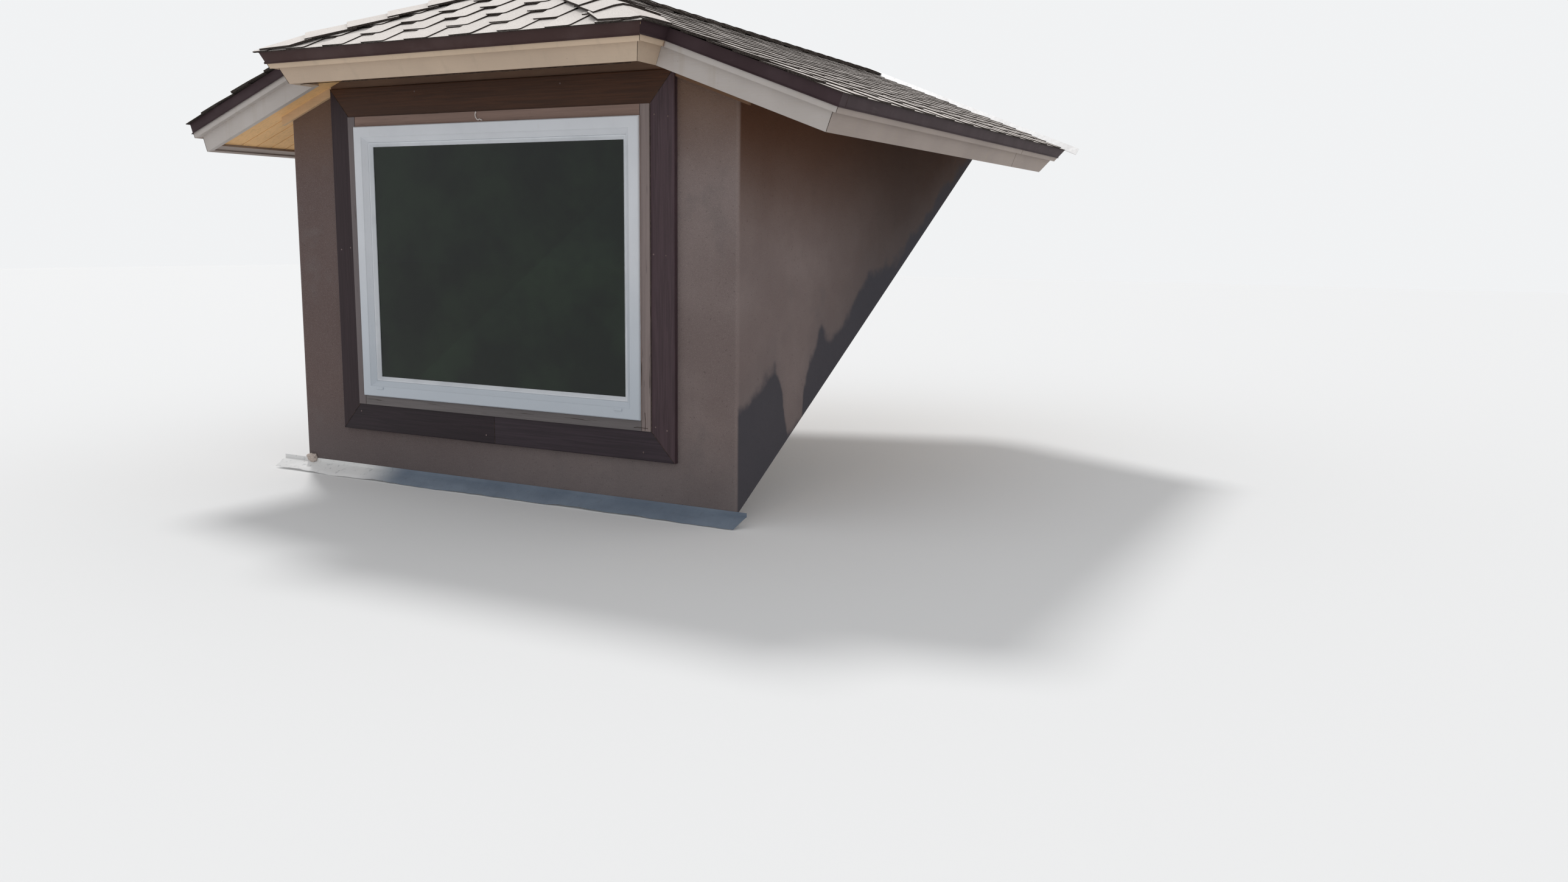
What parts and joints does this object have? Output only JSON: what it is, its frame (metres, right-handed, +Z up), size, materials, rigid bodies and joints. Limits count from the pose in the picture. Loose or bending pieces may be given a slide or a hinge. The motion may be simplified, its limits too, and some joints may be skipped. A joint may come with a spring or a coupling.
{
  "type": "dormer window",
  "caption": "Roof dormer with stuccoed walls, a wide fixed window in double trim, and a low shingled roof hipped back at the front with boxed eaves.",
  "frame": {"origin": "on the slope of the main roof, under the middle of the front wall's thickness and width", "axes": "+X to the right along the front, +Y back into the main roof, +Z up; the window faces -Y"},
  "size_m": [3.116, 3.7272, 2.0163],
  "materials": {
    "stucco": "sand-finish stucco, patchy brown grey",
    "lumber": "bare softwood",
    "sheathing": "bare boards",
    "shingle": "mineral granules on roofing felt, weathered grey brown",
    "cap_shingle": "mineral granules on roofing felt, weathered grey brown",
    "fascia_paint": "cream paint on wood, dull",
    "mould_paint": "cream paint on wood, dull",
    "drip_metal": "dark brown coated sheet",
    "soffit_paint": "tan paint on boards",
    "frieze_paint": "tan paint on wood",
    "white_vinyl": "white window vinyl, satin",
    "bead_vinyl": "white window vinyl, satin",
    "pane": "clear, reflecting",
    "inner_trim": "taupe paint on wood, dry and cracked",
    "outer_trim": "dark brown stain, dull, with grain",
    "flashing_metal": "white coated sheet"
  },
  "bodies": {
    "root": {"front_wall": "stucco", "left_cheek": "stucco", "right_cheek": "stucco", "ridge_board": "lumber", "left_rafters": "lumber", "right_rafters": "lumber", "hip_rafters": "lumber", "front_rafters": "lumber", "left_deck": "sheathing", "right_deck": "sheathing", "front_deck": "sheathing", "left_shingles": "shingle", "right_shingles": "shingle", "front_shingles": "shingle", "ridge_caps": "cap_shingle", "left_hip_caps": "cap_shingle", "right_hip_caps": "cap_shingle", "front_fascia": "fascia_paint", "return_fascias": "fascia_paint", "rake_fascias": "fascia_paint", "eave_fascias": "fascia_paint", "sub_fascias": "fascia_paint", "front_mould": "mould_paint", "return_moulds": "mould_paint", "rake_moulds": "mould_paint", "eave_moulds": "mould_paint", "front_drip": "drip_metal", "return_drips": "drip_metal", "rake_drips": "drip_metal", "eave_drips": "drip_metal", "front_soffit": "soffit_paint", "rake_soffits": "soffit_paint", "eave_soffits": "soffit_paint", "front_frieze": "frieze_paint", "rake_friezes": "frieze_paint", "window_frame": "white_vinyl", "weep_covers": "white_vinyl", "glazing_bead": "bead_vinyl", "glass": "pane", "inner_head": "inner_trim", "inner_sill": "inner_trim", "inner_sides": "inner_trim", "outer_head": "outer_trim", "outer_sides": "outer_trim", "outer_sill_left": "outer_trim", "outer_sill_right": "outer_trim", "apron_flashing": "flashing_metal", "valley_flashings": "flashing_metal"}
  },
  "joints": []
}
